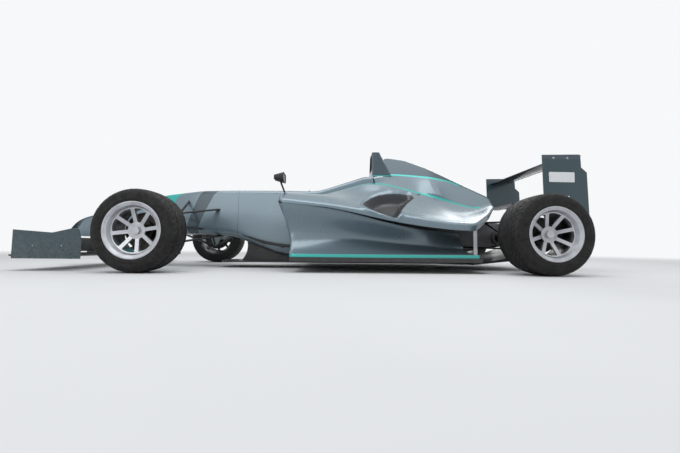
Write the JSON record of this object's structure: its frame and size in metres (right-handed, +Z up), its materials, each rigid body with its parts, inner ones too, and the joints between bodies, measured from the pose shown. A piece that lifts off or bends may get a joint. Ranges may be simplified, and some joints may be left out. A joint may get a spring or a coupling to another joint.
{
  "type": "open wheel racing car",
  "caption": "Single seat racing car with uncovered wheels, hollow cockpit, front and rear wings, sidepods, steering front wheels and free turning wheels.",
  "frame": {"origin": "on the ground, midway along the car's length and on its centre plane", "axes": "+X to the tail, +Y to the car's right-hand side, +Z up"},
  "size_m": [4.215, 1.7212, 1.0219],
  "materials": {
    "body_silver": "metallic gloss",
    "wing_petrol": "gloss",
    "slate_panel": "satin metallic",
    "carbon_black": "satin",
    "rim_silver": "metallic gloss",
    "tyre_rubber": "matte",
    "bare_aluminium": "machined",
    "cast_alloy": "cast",
    "brake_iron": "machined",
    "steel_black": "black coated",
    "trim_black": "matte",
    "pad_fabric": "soft"
  },
  "bodies": {
    "chassis": {"monocoque": "body_silver", "nose_cone": "body_silver", "sidepods": "body_silver", "engine_cover": "body_silver", "front_wing_plane": "carbon_black", "front_wing_flaps": "carbon_black", "front_endplates": "wing_petrol", "floor": "carbon_black", "keel": "carbon_black", "radiators": "bare_aluminium", "engine": "cast_alloy", "gearbox": "cast_alloy", "airbox": "slate_panel", "headrest": "pad_fabric", "seat": "carbon_black", "mirrors": "trim_black", "rear_uprights": "bare_aluminium", "rear_calipers": "trim_black", "front_wishbones": "steel_black", "rear_wishbones": "steel_black", "pushrods": "steel_black", "rear_endplates": "wing_petrol", "rear_wing": "carbon_black", "crash_box": "carbon_black", "beam_wing": "carbon_black", "floor_struts": "bare_aluminium"},
    "wheel_front_left": {"tyre_front_left": "tyre_rubber", "rim_front_left": "rim_silver", "disc_front_left": "brake_iron"},
    "wheel_front_right": {"tyre_front_right": "tyre_rubber", "rim_front_right": "rim_silver", "disc_front_right": "brake_iron"},
    "wheel_rear_left": {"tyre_rear_left": "tyre_rubber", "rim_rear_left": "rim_silver", "disc_rear_left": "brake_iron", "driveshaft_left": "steel_black"},
    "wheel_rear_right": {"tyre_rear_right": "tyre_rubber", "rim_rear_right": "rim_silver", "disc_rear_right": "brake_iron", "driveshaft_right": "steel_black"},
    "knuckle_left": {"knuckle_left": "bare_aluminium", "caliper_front_left": "trim_black"},
    "knuckle_right": {"knuckle_right": "bare_aluminium", "caliper_front_right": "trim_black"},
    "steering_rack": {"steering_rack": "steel_black"},
    "steering_wheel": {"steering_wheel": "trim_black"}
  },
  "joints": [
    {"name": "steer_left", "type": "hinge", "parent": "chassis", "child": "knuckle_left", "pos_m": [-1.1425, -0.662, 0.27], "axis": [0, 0, 1], "range_deg": [-18, 18]},
    {"name": "spin_front_left", "type": "hinge", "parent": "knuckle_left", "child": "wheel_front_left", "pos_m": [-1.1425, -0.753, 0.27], "axis": [0, 1, 0], "continuous": true},
    {"name": "spin_rear_left", "type": "hinge", "parent": "chassis", "child": "wheel_rear_left", "pos_m": [1.5675, -0.725, 0.276], "axis": [0, 1, 0], "continuous": true},
    {"name": "steer_right", "type": "hinge", "parent": "chassis", "child": "knuckle_right", "pos_m": [-1.1425, 0.662, 0.27], "axis": [0, 0, 1], "range_deg": [-18, 18]},
    {"name": "spin_front_right", "type": "hinge", "parent": "knuckle_right", "child": "wheel_front_right", "pos_m": [-1.1425, 0.753, 0.27], "axis": [0, 1, 0], "continuous": true},
    {"name": "spin_rear_right", "type": "hinge", "parent": "chassis", "child": "wheel_rear_right", "pos_m": [1.5675, 0.725, 0.276], "axis": [0, 1, 0], "continuous": true},
    {"name": "rack_slide", "type": "slide", "parent": "chassis", "child": "steering_rack", "axis": [0, 1, 0], "range_m": [-0.034, 0.034]},
    {"name": "column_turn", "type": "hinge", "parent": "chassis", "child": "steering_wheel", "pos_m": [-0.0575, 0, 0.56], "axis": [0.9397, 0, 0.342], "range_deg": [-180, 180]}
  ],
  "couplings": [
    {"joint": "steer_right", "follows": "steer_left", "ratio": 1},
    {"joint": "rack_slide", "follows": "steer_left", "m_per_rad": -0.104},
    {"joint": "column_turn", "follows": "steer_left", "ratio": 10}
  ]
}
